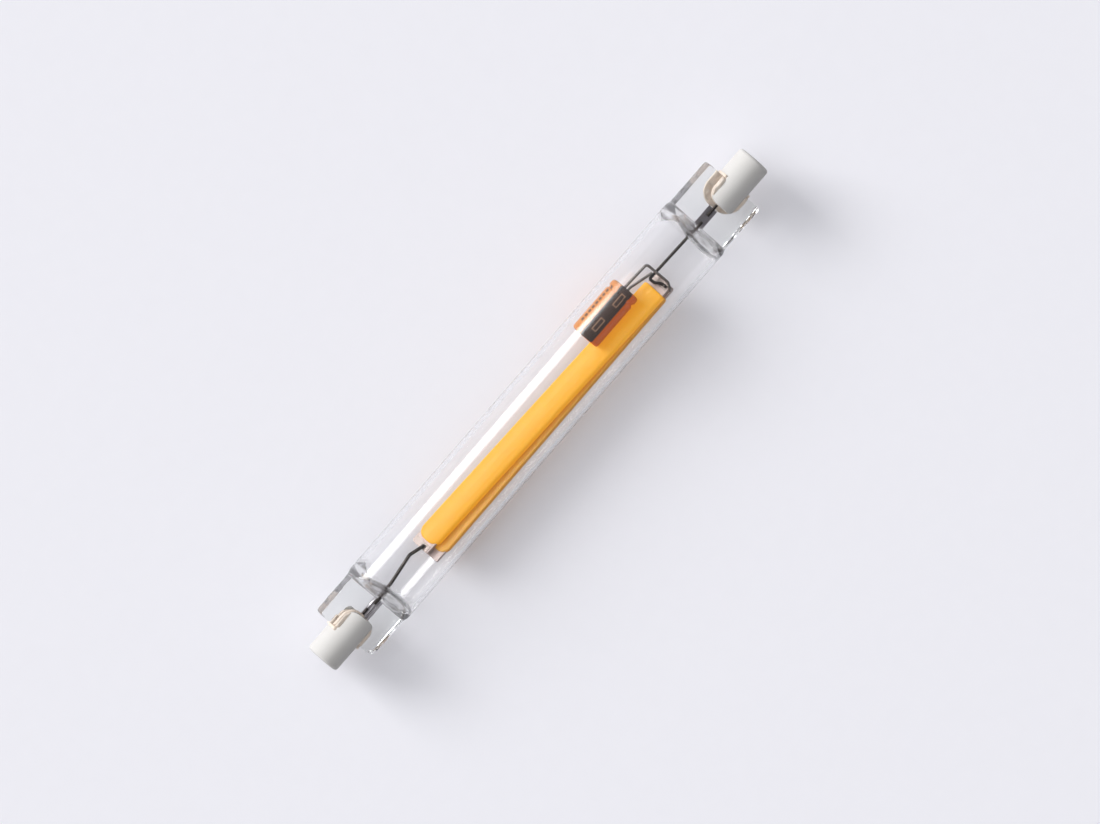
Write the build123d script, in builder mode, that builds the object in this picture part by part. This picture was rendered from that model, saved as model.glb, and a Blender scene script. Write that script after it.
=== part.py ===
from build123d import *
import os
from math import cos, radians, sin, tan

# A double-ended linear LED lamp, in millimetres. +X runs along the tube towards the capacitor end,
# +Z is up and the origin is on the tube's axis, half-way between the two cap rims.

# Overall
overall_length = 117.6

# Glass envelope
tube_diameter = 13.6
tube_wall = 0.75
press_length = 9.25
press_thickness = 2.5
press_tilt = 27.0
press_corner = 0.75
shoulder_length = 2.4
shoulder_round = 2.2
shoulder_foot_round = 1.0
outline_stand_off = 0.05
cavity_setback = 0.7
cavity_shoulder = 0.6
cavity_tip = 0.8
cavity_corner = 3.2
cavity_round = 1.4
lead_cusp_length = 1.7
lead_cusp_diameter = 2.6
lead_cusp_lip = 0.15

# Ceramic end caps, their cement and contacts
cap_length = 10.5
cap_diameter = 6.5
cap_rim_round = 0.6
cap_leg_round = 2.2
cap_hole_play = 0.15
press_entry = 4.5
cement_layer = 0.5
cement_bank = 0.8
cement_height = 0.75
cement_bevel = 0.4
contact_recess = 1.7
contact_recess_diameter = 4.2
contact_seat_diameter = 3.4
contact_thickness = 0.9
contact_round = 0.25
contact_play = 0.05

# Foils and lead wires
seal_shift = -0.5
foil_length = 4.3
foil_width = 2.1
foil_thickness = 0.1
left_foil_offset = -0.75
left_lead_offset = -0.5
outer_lead_diameter = 0.6
outer_lead_lap = 1.7
inner_lead_diameter = 0.5
inner_lead_lap = 1.2
inner_lead_bend = 0.35
inner_lead_run_in = 1.0
seal_gap = 0.02
weld_gap = 0.01

# LED strips: a ceramic plate with a row of dies, in a phosphor coat that is crowned over the dies
strip_left_space = 8.75
strip_right_space = 9.15
strip_roll = 30.0
strip_yaw = 1.7
strip_shift = 0.24
strip_gap = 0.1
back_strip_shift = 0.9
substrate_width = 4.2
substrate_thickness = 0.6
substrate_corner = 0.4
coat_left_bare = 1.7
coat_right_bare = 2.3
coat_side = 0.35
coat_over = 0.7
coat_under = 0.3
coat_crown = 0.5
coat_edge_round = 0.25
coat_left_corner = 1.3
coat_right_corner = 0.5
chip_count = 24
chip_margin = 2.0
chip_length = 1.1
chip_width = 0.6
chip_thickness = 0.15
pad_length = 1.2
pad_width = 3.6
pad_thickness = 0.1
pad_inset = 0.15
strip_joint_length = 1.0
strip_joint_width = 2.0

# Radial capacitor, lodged between the bore and the front strip
capacitor_length = 11.2
capacitor_diameter = 5.5
capacitor_sleeve_wall = 0.1
capacitor_sleeve_lip = 0.7
capacitor_lead_reach = 5.7
capacitor_angle = 29.0
capacitor_bore_gap = 0.72
capacitor_nesting = 0.21
capacitor_end_round = 0.5
capacitor_groove_width = 0.9
capacitor_groove_depth = 0.35
capacitor_groove_inset = 1.5
capacitor_groove_round = 0.3
capacitor_bung_diameter = 4.4
capacitor_bung_depth = 1.0
capacitor_lead_pitch = 2.0
capacitor_lead_turn = 70.0
capacitor_lead_diameter = 0.5
capacitor_lead_play = 0.02
capacitor_lead_run = 0.8
capacitor_lead_bend = 0.6

# Bends of the wires near the front strip's end pads: how far past the pad's middle, how far across
# the strip towards +Y, and how high above the pad
left_lead_kink = (2.9, -0.5, 1.37)
left_lead_landing = (0.5, -0.6)
left_lead_tip = (-0.1, -0.6)
right_lead_hook = [(-0.85, 1.35, 1.27), (-0.7, 0.3, 0.85), (-0.05, -0.45, 0.45)]
right_lead_landing = (0.05, -0.95)
right_lead_tip = (0.05, -1.6)
long_lead_bends = [(0.75, 2.2, 4.0), (0.95, -1.75, 1.0)]
long_lead_landing = (0.35, 0.1)
long_lead_tip = (0.05, -0.5)
short_lead_tip = (0.32, 1.49, 1.76)

# Stations along the axis, measured from the middle of the lamp
half_length = overall_length / 2
cap_inner = half_length - cap_length
press_end = cap_inner + press_entry
press_start = press_end - press_length
tube_end = press_start - shoulder_length
slot_floor = press_end + cement_layer
contact_face = half_length - contact_recess
contact_back = contact_face - contact_thickness
cavity_end = press_start - cavity_setback
foil_outer = press_start + foil_length
foil_middle = press_start + foil_length / 2

tube_radius = tube_diameter / 2
bore_radius = tube_radius - tube_wall
press_half = press_thickness / 2
slot_width = press_thickness + 2 * cement_layer

# The press is rolled about the lamp's axis: press_face looks on its flat, press_side on its edge
press_face = Plane.XY.rotated((press_tilt, 0, 0))
press_side = Plane.XZ.rotated((press_tilt, 0, 0))
press_normal = Axis((0, 0, 0), press_face.z_dir)

# Both leads lie on the axis, against one side of the foil
foil_drop = outer_lead_diameter / 2 + weld_gap + foil_thickness / 2

# Sizes across a strip, in a frame with x along it and z out of the crowned face of its coat
coat_thickness = coat_under + substrate_thickness + coat_over
coat_top = coat_thickness / 2
coat_bottom = -coat_thickness / 2
coat_width = substrate_width + 2 * coat_side
substrate_bottom = coat_bottom + coat_under
substrate_top = substrate_bottom + substrate_thickness
pad_top = substrate_top + pad_thickness

# Sizes along a strip
strip_left = -tube_end + strip_left_space
strip_right = tube_end - strip_right_space
strip_middle = (strip_left + strip_right) / 2
substrate_length = strip_right - strip_left
coat_length = substrate_length - coat_left_bare - coat_right_bare
coat_middle = (coat_left_bare - coat_right_bare) / 2
chip_pitch = (coat_length - 2 * chip_margin) / (chip_count - 1)
pad_centre = substrate_length / 2 - pad_inset - pad_length / 2

# The capacitor's axis, clear of the bore
capacitor_radius = capacitor_diameter / 2 + capacitor_sleeve_wall
capacitor_offset = bore_radius - capacitor_radius - capacitor_bore_gap
capacitor_y = capacitor_offset * cos(radians(capacitor_angle))
capacitor_z = capacitor_offset * sin(radians(capacitor_angle))
capacitor_front = strip_right - capacitor_lead_reach
capacitor_back = capacitor_front - capacitor_length

# The front strip lies against the capacitor's flank, and the back strip behind it, face to face
strip_level = capacitor_offset * sin(radians(capacitor_angle + strip_roll))
strip_level -= capacitor_radius + coat_top - capacitor_nesting
strip_plane = Plane.XY.rotated((-strip_roll, 0, 0))
front_origin = strip_plane.from_local_coords((strip_middle, -strip_shift, strip_level))
front_frame = Plane(front_origin).rotated((-strip_roll, 0, -strip_yaw))
back_origin = front_frame.from_local_coords((0, -back_strip_shift, -coat_thickness - strip_gap))
back_frame = Plane(back_origin).rotated((180 - strip_roll, 0, 0))


def station(x):
    """The plane across the lamp's axis at a distance x from its middle."""
    return Plane.YZ.offset(x)


def seal_station(end, x, across=0):
    """The plane across one end's seal, facing outwards, on a line offset across the press."""
    return Plane(press_face.from_local_coords((seal_shift + end * x, across, 0)), z_dir=(end, 0, 0))


def waisted(quarter):
    """A closed outline, symmetrical about both axes, from the points of its upper right quarter."""
    right = quarter + [(x, -y) for x, y in reversed(quarter)]
    left = [(-x, -y) for x, y in right]
    return right + left


# The hollow of the tube: the bore, closed at each end by the pressed wedge and by the rounded sides
# of the seal, with a cusp of glass drawn out along each inner lead
with BuildPart() as cavity:
    with BuildSketch(station(seal_shift - cavity_end)):
        Circle(bore_radius)
    extrude(amount=2 * cavity_end)
    with BuildSketch(press_side) as wedge:
        bore_edge = (tube_end - cavity_shoulder, bore_radius + outline_stand_off)
        with Locations((seal_shift, 0)):
            Polygon(*waisted([bore_edge, (cavity_end, cavity_tip / 2)]), align=None)
        rows = wedge.vertices().group_by(Axis.Y)
        fillet(rows[0] + rows[-1], cavity_round)
    extrude(amount=tube_diameter, both=True, mode=Mode.INTERSECT)
    with BuildSketch(press_face):
        with Locations((seal_shift, 0)):
            RectangleRounded(2 * cavity_end, 2 * (bore_radius + outline_stand_off), cavity_corner)
    extrude(amount=tube_diameter, both=True, mode=Mode.INTERSECT)
    for end, across in ((-1, left_lead_offset), (1, 0)):
        cusp_middle = seal_station(end, cavity_end - lead_cusp_length / 2, across).origin
        with Locations(Location(cusp_middle, (0, -end * 90, 0))):
            Cone(
                lead_cusp_diameter / 2,
                inner_lead_diameter / 2 + seal_gap + lead_cusp_lip,
                lead_cusp_length,
                mode=Mode.SUBTRACT,
            )


def sealed_foil(end, across, grow=0):
    """Molybdenum foil sealed flat in the press at one end."""
    with BuildPart() as foil:
        with BuildSketch(press_face.offset(-foil_drop)):
            with Locations((seal_shift + end * foil_middle, across)):
                Rectangle(foil_length + 2 * grow, foil_width + 2 * grow)
        extrude(amount=foil_thickness / 2 + grow, both=True)
    return foil.part


def sealed_metal(end, foil_across, lead_across):
    """All that is sealed in the glass at one end, grown by the seal gap."""
    with BuildPart() as metal:
        add(sealed_foil(end, foil_across, seal_gap))
        with BuildSketch(seal_station(end, cavity_end - lead_cusp_length - seal_gap, lead_across)):
            Circle(inner_lead_diameter / 2 + seal_gap)
        extrude(amount=press_start + inner_lead_lap - cavity_end + lead_cusp_length + 2 * seal_gap)
        with BuildSketch(seal_station(end, foil_outer - outer_lead_lap - seal_gap)):
            Circle(outer_lead_diameter / 2 + seal_gap)
        extrude(amount=press_end - foil_outer + outer_lead_lap + abs(seal_shift) + 2 * seal_gap)
    return metal.part


# Clear glass tube, pressed flat at both ends, with soft shoulders and rounded press corners
with BuildPart() as glass_envelope:
    with BuildSketch(station(-press_end)):
        Circle(tube_radius)
    extrude(amount=2 * press_end)
    with BuildSketch(press_side) as pressed:
        tube_edge = (tube_end, tube_radius + outline_stand_off)
        past_end = (press_end + abs(seal_shift), press_half)
        with Locations((seal_shift, 0)):
            Polygon(*waisted([tube_edge, (press_start, press_half), past_end]), align=None)
        columns = pressed.vertices().group_by(Axis.X)
        fillet(columns[1] + columns[-2], shoulder_foot_round)
        rows = pressed.vertices().group_by(Axis.Y)
        fillet(rows[0] + rows[-1], shoulder_round)
    extrude(amount=tube_diameter, both=True, mode=Mode.INTERSECT)
    with BuildSketch(press_face):
        RectangleRounded(2 * press_end, 2 * (tube_radius + outline_stand_off), press_corner)
    extrude(amount=tube_diameter, both=True, mode=Mode.INTERSECT)
    add(cavity.part, mode=Mode.SUBTRACT)
    add(sealed_metal(-1, left_foil_offset, left_lead_offset), mode=Mode.SUBTRACT)
    add(sealed_metal(1, 0, 0), mode=Mode.SUBTRACT)

# Right-hand ceramic cap: a rod slotted to straddle the press, with rounded legs, and bored from its
# outer end for the contact and its lead
with BuildPart() as end_cap_right:
    with BuildSketch(station(cap_inner)):
        Circle(cap_diameter / 2)
    extrude(amount=cap_length)
    fillet(end_cap_right.edges().sort_by(Axis.X)[-1], cap_rim_round)
    with BuildSketch(press_face) as legs:
        with Locations((cap_inner, 0)):
            Rectangle(2 * cap_length, cap_diameter + 2 * outline_stand_off, align=(Align.MIN, Align.CENTER))
        fillet(legs.vertices().group_by(Axis.X)[0], cap_leg_round)
    extrude(amount=cap_diameter, both=True, mode=Mode.INTERSECT)
    with BuildSketch(press_side):
        with Locations((slot_floor, 0)):
            Rectangle(2 * press_entry, slot_width, align=(Align.MAX, Align.CENTER))
    extrude(amount=cap_diameter, both=True, mode=Mode.SUBTRACT)
    with BuildSketch(station(half_length)):
        Circle(contact_recess_diameter / 2)
    extrude(amount=-contact_recess, mode=Mode.SUBTRACT)
    with BuildSketch(station(contact_face)):
        Circle(contact_seat_diameter / 2)
    extrude(amount=-contact_thickness, mode=Mode.SUBTRACT)
    with BuildSketch(station(contact_back)):
        Circle(outer_lead_diameter / 2 + cap_hole_play)
    extrude(amount=slot_floor - contact_back, mode=Mode.SUBTRACT)

# Cement in the slot, with a bevelled bank of it on both flats of the press round the legs
with BuildPart() as cement_right:
    with BuildSketch(press_face.offset(press_half)) as foot:
        with Locations((press_end, 0)):
            Rectangle(
                press_entry + cement_bank,
                cap_diameter + 2 * cement_bank,
                align=(Align.MAX, Align.CENTER),
            )
        fillet(foot.vertices().group_by(Axis.X)[0], cap_leg_round + cement_bank)
    extrude(amount=cement_height)
    chamfer(cement_right.faces().sort_by(press_normal)[-1].edges(), cement_bevel)
    mirror(about=press_face)
    with BuildSketch(press_side):
        with Locations((press_end, 0)):
            Rectangle(cement_layer, slot_width, align=(Align.MIN, Align.CENTER))
    extrude(amount=cap_diameter / 2 - cement_bank, both=True)
    with BuildSketch(station(press_end)):
        Circle(outer_lead_diameter / 2 + seal_gap)
    extrude(amount=cement_layer, mode=Mode.SUBTRACT)
    add(end_cap_right.part, mode=Mode.SUBTRACT)

# Contact button, seated flush with the bottom of the cap's recess
with BuildPart() as contact_right:
    with BuildSketch(station(contact_back)):
        Circle(contact_seat_diameter / 2 - contact_play)
    extrude(amount=contact_thickness)
    fillet(contact_right.edges().sort_by(Axis.X)[-1], contact_round)


def outer_lead(end):
    """Wire from the contact through the cap and into the press, where it lies on the foil."""
    with BuildPart() as wire:
        with BuildSketch(seal_station(end, foil_outer - outer_lead_lap)):
            Circle(outer_lead_diameter / 2)
        extrude(amount=contact_back - foil_outer + outer_lead_lap - end * seal_shift)
    return wire.part


def strip_substrate(frame):
    """Ceramic plate of an LED strip."""
    with BuildPart() as plate:
        with BuildSketch(frame.offset(substrate_bottom)):
            RectangleRounded(substrate_length, substrate_width, substrate_corner)
        extrude(amount=substrate_thickness)
    return plate.part


def strip_chips(frame):
    """Row of LED dies on the plate, a group of separate solids."""
    with BuildPart() as chips:
        with BuildSketch(frame.offset(substrate_top)):
            with Locations((coat_middle, 0)):
                with GridLocations(chip_pitch, 0, chip_count, 1):
                    Rectangle(chip_length, chip_width)
        extrude(amount=chip_thickness)
    return chips.part


def strip_pads(frame):
    """Metal pad at each bare end of the plate."""
    with BuildPart() as pads:
        with BuildSketch(frame.offset(substrate_top)):
            with GridLocations(2 * pad_centre, 0, 2, 1):
                Rectangle(pad_length, pad_width)
        extrude(amount=pad_thickness)
    return pads.part


def strip_coat(frame, core):
    """Phosphor silicone round the plate: crowned on the side of the dies, rounded at its ends."""
    across = Plane(frame.from_local_coords((coat_middle, 0, 0)), x_dir=frame.y_dir, z_dir=frame.x_dir)
    with BuildPart() as coat:
        with BuildSketch(across) as section:
            with BuildLine():
                crown = ThreePointArc(
                    (-coat_width / 2, coat_top - coat_crown),
                    (0, coat_top),
                    (coat_width / 2, coat_top - coat_crown),
                )
                Polyline(crown @ 1, (coat_width / 2, coat_bottom), (-coat_width / 2, coat_bottom), crown @ 0)
            make_face()
            fillet(section.vertices().group_by(Axis.Y)[0], coat_edge_round)
            fillet(section.vertices().group_by(Axis.Y)[-1], coat_edge_round)
        extrude(amount=coat_length / 2, both=True)
        with BuildSketch(frame) as outline:
            with Locations((coat_middle, 0)):
                Rectangle(coat_length, coat_width + 2 * coat_edge_round)
            fillet(outline.vertices().group_by(Axis.X)[0], coat_left_corner + coat_edge_round)
            fillet(outline.vertices().group_by(Axis.X)[-1], coat_right_corner + coat_edge_round)
        extrude(amount=coat_thickness, both=True, mode=Mode.INTERSECT)
        for piece in core:
            add(piece, mode=Mode.SUBTRACT)
    return coat.part


front_substrate = strip_substrate(front_frame)
front_chips = strip_chips(front_frame)
front_pads = strip_pads(front_frame)
front_coat = strip_coat(front_frame, [front_substrate, front_chips])
back_substrate = strip_substrate(back_frame)
back_chips = strip_chips(back_frame)
back_pads = strip_pads(back_frame)
back_coat = strip_coat(back_frame, [back_substrate, back_chips])

# Solder between the two plates at each end, where they cross at the strips' yaw
strip_joints = {}
for end_name, end in (("left", -1), ("right", 1)):
    crossing = (end * pad_centre * tan(radians(strip_yaw)) - back_strip_shift) / 2
    with BuildPart() as joint:
        with BuildSketch(front_frame.offset(substrate_bottom)):
            with Locations((end * pad_centre, crossing)):
                Rectangle(strip_joint_length, strip_joint_width)
        extrude(amount=-2 * coat_under - strip_gap)
    strip_joints[end_name] = joint.part


def capacitor_body(grow):
    """The can as a plain turned form with its crimp groove, larger all over by grow."""
    radius = capacitor_diameter / 2 + grow
    groove = capacitor_length - capacitor_groove_inset
    flank = capacitor_groove_width / 2
    axis_plane = Plane((capacitor_back, capacitor_y, capacitor_z), x_dir=(1, 0, 0), z_dir=(0, -1, 0))
    with BuildPart() as body:
        with BuildSketch(axis_plane) as half:
            with BuildLine():
                Polyline(
                    (-grow, 0),
                    (-grow, radius),
                    (groove - flank, radius),
                    (groove, radius - capacitor_groove_depth),
                    (groove + flank, radius),
                    (capacitor_length + grow, radius),
                    (capacitor_length + grow, 0),
                    close=True,
                )
            make_face()
            columns = half.vertices().group_by(Axis.X)
            fillet(columns[1] + columns[2] + columns[3], capacitor_groove_round)
            rim = half.vertices().group_by(Axis.Y)[-1].sort_by(Axis.X)
            fillet([rim[0], rim[-1]], capacitor_end_round + grow)
        revolve(axis=Axis(axis_plane.origin, (1, 0, 0)))
    return body.part


capacitor_end = Plane((capacitor_front, capacitor_y, capacitor_z), x_dir=(0, 1, 0), z_dir=(1, 0, 0))
can_blank = capacitor_body(0)

# Aluminium can, sealed, with its mouth open for the bung
with BuildPart() as capacitor_can:
    add(can_blank)
    with BuildSketch(capacitor_end):
        Circle(capacitor_bung_diameter / 2)
    extrude(amount=-capacitor_bung_depth, mode=Mode.SUBTRACT)

# Shrink sleeve over the can, drawn in over the edge of both its ends
with BuildPart() as capacitor_sleeve:
    add(capacitor_body(capacitor_sleeve_wall))
    add(can_blank, mode=Mode.SUBTRACT)
    with BuildSketch(capacitor_end.offset(-capacitor_length - capacitor_sleeve_wall)):
        Circle(capacitor_diameter / 2 - capacitor_sleeve_lip)
    extrude(amount=capacitor_length + 2 * capacitor_sleeve_wall, mode=Mode.SUBTRACT)

# Rubber bung in the can's mouth, with a hole for each lead
with BuildPart() as capacitor_bung:
    with BuildSketch(capacitor_end.offset(-capacitor_bung_depth)):
        Circle(capacitor_bung_diameter / 2)
        with PolarLocations(capacitor_lead_pitch / 2, 2, capacitor_lead_turn):
            Circle(capacitor_lead_diameter / 2 + capacitor_lead_play, mode=Mode.SUBTRACT)
    extrude(amount=capacitor_bung_depth - capacitor_lead_play)


def lead_wire(points, bend, diameter):
    """A round wire along straight runs joined by bends of one radius."""
    with BuildPart() as wire:
        with BuildLine() as route:
            FilletPolyline(*points, radius=bend)
        with BuildSketch(Plane(route.line @ 0, z_dir=route.line % 0)):
            Circle(diameter / 2)
        sweep(path=route.line)
    return wire.part


def by_pad(end, beyond, across, height):
    """A point near the front strip's end pad: past its middle, across the strip and above the pad."""
    return front_frame.from_local_coords((end * (pad_centre + beyond), across, pad_top + height))


# Inner leads: from the foil along the axis, then bent down on to the front strip's pad and welded flat
inner_rest = inner_lead_diameter / 2 + weld_gap
foil_lap = press_start + inner_lead_lap
inner_lead_left = lead_wire(
    [
        seal_station(-1, foil_lap, left_lead_offset).origin,
        seal_station(-1, tube_end - inner_lead_run_in, left_lead_offset).origin,
        by_pad(-1, *left_lead_kink),
        by_pad(-1, *left_lead_landing, inner_rest),
        by_pad(-1, *left_lead_tip, inner_rest),
    ],
    inner_lead_bend,
    inner_lead_diameter,
)
inner_lead_right = lead_wire(
    [
        seal_station(1, foil_lap).origin,
        seal_station(1, tube_end - inner_lead_run_in).origin,
        *[by_pad(1, *bend) for bend in right_lead_hook],
        by_pad(1, *right_lead_landing, inner_rest),
        by_pad(1, *right_lead_tip, inner_rest),
    ],
    inner_lead_bend,
    inner_lead_diameter,
)

# Capacitor leads: the long one crosses over to the far edge of the front strip and lies on its plate's
# side, the short one runs down beside the right-hand inner lead
lead_root = capacitor_front - capacitor_bung_depth + capacitor_lead_play
lead_exit = capacitor_front + capacitor_lead_run
lead_aside = capacitor_lead_pitch / 2 * cos(radians(capacitor_lead_turn))
lead_above = capacitor_lead_pitch / 2 * sin(radians(capacitor_lead_turn))
side_rest = -substrate_width / 2 - capacitor_lead_diameter / 2 - weld_gap
landing_beyond, landing_height = long_lead_landing
tip_beyond, tip_height = long_lead_tip
capacitor_lead_long = lead_wire(
    [
        (lead_root, capacitor_y + lead_aside, capacitor_z + lead_above),
        (lead_exit, capacitor_y + lead_aside, capacitor_z + lead_above),
        *[by_pad(1, *bend) for bend in long_lead_bends],
        by_pad(1, landing_beyond, side_rest, landing_height),
        by_pad(1, tip_beyond, side_rest, tip_height),
    ],
    capacitor_lead_bend,
    capacitor_lead_diameter,
)
capacitor_lead_short = lead_wire(
    [
        (lead_root, capacitor_y - lead_aside, capacitor_z - lead_above),
        (lead_exit, capacitor_y - lead_aside, capacitor_z - lead_above),
        by_pad(1, *short_lead_tip),
    ],
    capacitor_lead_bend,
    capacitor_lead_diameter,
)

# The left-hand cap, cement and contact are mirror images of the right-hand ones
pieces = {
    "glass_envelope": glass_envelope.part,
    "outer_lead_left": outer_lead(-1),
    "outer_lead_right": outer_lead(1),
    "foil_left": sealed_foil(-1, left_foil_offset),
    "foil_right": sealed_foil(1, 0),
    "front_substrate": front_substrate,
    "front_chips": front_chips,
    "front_pads": front_pads,
    "front_coat": front_coat,
    "back_substrate": back_substrate,
    "back_chips": back_chips,
    "back_pads": back_pads,
    "back_coat": back_coat,
    "strip_joint_left": strip_joints["left"],
    "strip_joint_right": strip_joints["right"],
    "inner_lead_left": inner_lead_left,
    "inner_lead_right": inner_lead_right,
    "capacitor_can": capacitor_can.part,
    "capacitor_sleeve": capacitor_sleeve.part,
    "capacitor_bung": capacitor_bung.part,
    "capacitor_lead_long": capacitor_lead_long,
    "capacitor_lead_short": capacitor_lead_short,
}
right_ends = {
    "end_cap": end_cap_right,
    "cement": cement_right,
    "contact": contact_right,
}
for name, right in right_ends.items():
    with BuildPart() as left:
        mirror(right.part, about=Plane.YZ)
    pieces[name + "_left"] = left.part
    pieces[name + "_right"] = right.part

os.makedirs("parts", exist_ok=True)
for name, piece in pieces.items():
    piece.label = name
    export_step(piece, "parts/" + name + ".step")
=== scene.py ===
from math import cos, pi, radians, sin, sqrt, tan

import bpy
import numpy as np
from mathutils import Matrix, Vector, noise


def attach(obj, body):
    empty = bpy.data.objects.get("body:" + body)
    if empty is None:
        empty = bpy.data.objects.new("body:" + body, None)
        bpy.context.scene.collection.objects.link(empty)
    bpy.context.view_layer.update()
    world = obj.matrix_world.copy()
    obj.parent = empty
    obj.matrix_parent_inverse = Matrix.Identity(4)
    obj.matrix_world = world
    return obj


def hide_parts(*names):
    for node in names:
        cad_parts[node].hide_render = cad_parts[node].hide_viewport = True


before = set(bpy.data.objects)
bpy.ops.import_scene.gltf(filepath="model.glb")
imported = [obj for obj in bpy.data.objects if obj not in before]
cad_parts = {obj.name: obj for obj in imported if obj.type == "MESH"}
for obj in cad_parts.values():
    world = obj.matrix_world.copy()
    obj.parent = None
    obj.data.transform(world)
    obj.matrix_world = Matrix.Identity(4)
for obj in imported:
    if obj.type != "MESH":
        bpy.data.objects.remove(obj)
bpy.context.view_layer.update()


# Ceramic plates of the two LED strips: white alumina, pressed and fired, one plate for each strip.
# They lie back to back inside their coats, so that only the bare plate ends show.
MM = 0.001
plate_white = "#BBA69F"
plate_shade = "#B09A93"
plate_mottle_mm = 1.2
plate_grain_mm = 0.15


def linear(hex_colour):
    """Linear colour with alpha 1 from an sRGB hex value."""
    channels = [int(hex_colour[i:i + 2], 16) / 255 for i in (1, 3, 5)]
    return [c / 12.92 if c <= 0.04045 else ((c + 0.055) / 1.055) ** 2.4 for c in channels] + [1.0]


def per_metre(size_mm):
    """Texture scale at which one feature of a pattern is this many millimetres across."""
    return 1 / (size_mm * MM)


def blank_material(name):
    """A node material with nothing in it yet, and its node tree."""
    material = bpy.data.materials.new(name)
    material.use_nodes = True
    material.node_tree.nodes.clear()
    return material, material.node_tree


def add_node(tree, kind, inputs=None, **settings):
    """Adds a shader node. An input is a value, an output, or a node for its first output in use."""
    new = tree.nodes.new("ShaderNode" + kind)
    for name, value in settings.items():
        setattr(new, name, value)
    for socket, value in (inputs or {}).items():
        if isinstance(value, bpy.types.Node):
            value = next(output for output in value.outputs if output.enabled)
        if isinstance(value, bpy.types.NodeSocket):
            tree.links.new(value, new.inputs[socket])
        else:
            new.inputs[socket].default_value = value
    return new


def finish_nodes(material, *names):
    """Gives the named CAD nodes this finish."""
    for name in names:
        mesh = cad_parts[name].data
        mesh.materials.clear()
        mesh.materials.append(material)


# Fired alumina: a dense matt white with a little warm mottling and a fine sintered grain. The real
# grain is finer, and is drawn coarser so that it shows.
alumina, tree = blank_material("alumina_fired_plate")
place = add_node(tree, "TexCoord").outputs["Object"]
mottle = add_node(tree, "TexNoise", {
    "Vector": place, "Scale": per_metre(plate_mottle_mm), "Detail": 4.0})
tint = add_node(tree, "Mix", {
    "Factor": mottle, "A": linear(plate_shade), "B": linear(plate_white)}, data_type="RGBA")
grain = add_node(tree, "TexNoise", {
    "Vector": place, "Scale": per_metre(plate_grain_mm), "Detail": 2.0})
relief = add_node(tree, "Bump", {"Strength": 0.25, "Distance": 0.03 * MM, "Height": grain})
surface = add_node(tree, "BsdfPrincipled", {
    "Base Color": tint, "Roughness": 0.55, "IOR": 1.76, "Normal": relief})
add_node(tree, "OutputMaterial", {"Surface": surface})
finish_nodes(alumina, "front_substrate", "back_substrate")


# LED dies: small blue gallium nitride dies on sapphire, bonded in a row down each plate. The coats
# cover them.
die_blue = "#5D6B86"
die_edge = "#3A4152"
die_mottle_mm = 0.4

# Polished sapphire: a smooth dark blue-grey with a glassy shine
sapphire, tree = blank_material("sapphire_polished_die")
place = add_node(tree, "TexCoord").outputs["Object"]
mottle = add_node(tree, "TexNoise", {
    "Vector": place, "Scale": per_metre(die_mottle_mm), "Detail": 2.0})
tint = add_node(tree, "Mix", {
    "Factor": mottle, "A": linear(die_edge), "B": linear(die_blue)}, data_type="RGBA")
surface = add_node(tree, "BsdfPrincipled", {"Base Color": tint, "Roughness": 0.12, "IOR": 1.77})
add_node(tree, "OutputMaterial", {"Surface": surface})
finish_nodes(sapphire, "front_chips", "back_chips")


# End pads: silver paste printed on the plate ends and fired, where the wires are welded on.
pad_silver = "#9B908A"
pad_dull = "#867B76"
pad_grit_mm = 0.12
pad_stain_mm = 0.7

# Fired silver: a pale dull metal, a little yellowed, with the grit of the printed paste, which is
# drawn coarser than it is so that it shows
silver, tree = blank_material("silver_paste_fired")
place = add_node(tree, "TexCoord").outputs["Object"]
stain = add_node(tree, "TexNoise", {
    "Vector": place, "Scale": per_metre(pad_stain_mm), "Detail": 3.0})
tint = add_node(tree, "Mix", {
    "Factor": stain, "A": linear(pad_dull), "B": linear(pad_silver)}, data_type="RGBA")
grit = add_node(tree, "TexNoise", {"Vector": place, "Scale": per_metre(pad_grit_mm), "Detail": 2.0})
relief = add_node(tree, "Bump", {"Strength": 0.5, "Distance": 0.02 * MM, "Height": grit})
surface = add_node(tree, "BsdfPrincipled", {
    "Base Color": tint, "Metallic": 1.0, "Roughness": 0.6, "Normal": relief})
add_node(tree, "OutputMaterial", {"Surface": surface})
finish_nodes(silver, "front_pads", "back_pads")


# Phosphor coats: yellow silicone moulded round each plate and crowned over the dies. A fine uneven
# bead runs along the crown near one edge, where the silicone met the lip of its mould. Wave and lump
# sizes are given as so many in a millimetre.
strip_middle = (-0.2, -0.865, -1.018)
strip_roll = 30.0
strip_yaw = 1.7
back_strip_drop = 1.7
back_strip_shift = 0.9
coat_start = -30.5
coat_stop = 29.9
coat_half = 2.45
coat_left_corner = 1.8
coat_right_corner = 0.5
coat_lip = 0.4
coat_lip_thinning = 0.35
coat_bottom = -0.8
coat_crown_radius = 6.25
coat_crown_angles = (-17.0, -9.0, 0.0, 9.0, 17.0)
coat_crown_top = 0.8
coat_crown_round = 2.0
coat_edge = 0.30
coat_edge_round = 0.5
coat_foot_round = 0.15
coat_end_rows = (0.0, 0.01, 0.03, 0.06, 0.1, 0.15, 0.22, 0.3, 0.4, 0.5, 0.65, 0.8, 1.0, 1.2)
coat_step = 0.2
coat_first_step = 1.4
coat_last_step = 1.3
coat_around = 72
coat_wave = 0.025
coat_waves_along = 0.35
coat_waves_across = 0.6
coat_parting = 0.85
coat_parting_edge = 0.05
bead_across = -1.35
bead_half_width = 0.16
bead_height = 0.02
bead_lump = 0.07
bead_lumps_along = 1.9
bead_clumps_along = 0.31
bead_clump_share = 0.25
phosphor_yellow = "#BF8F2E"
phosphor_deep = "#BA8525"
# Painted shade and painted glow: a browner back coat, and a glow on the coats, weaker on the back one
painted_shade_brown = "#C48E34"
painted_glow_colour = "#FFB419"
painted_glow_top = 0.5
painted_glow_under = 0.14
phosphor_scatter_mm = 2.2
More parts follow.
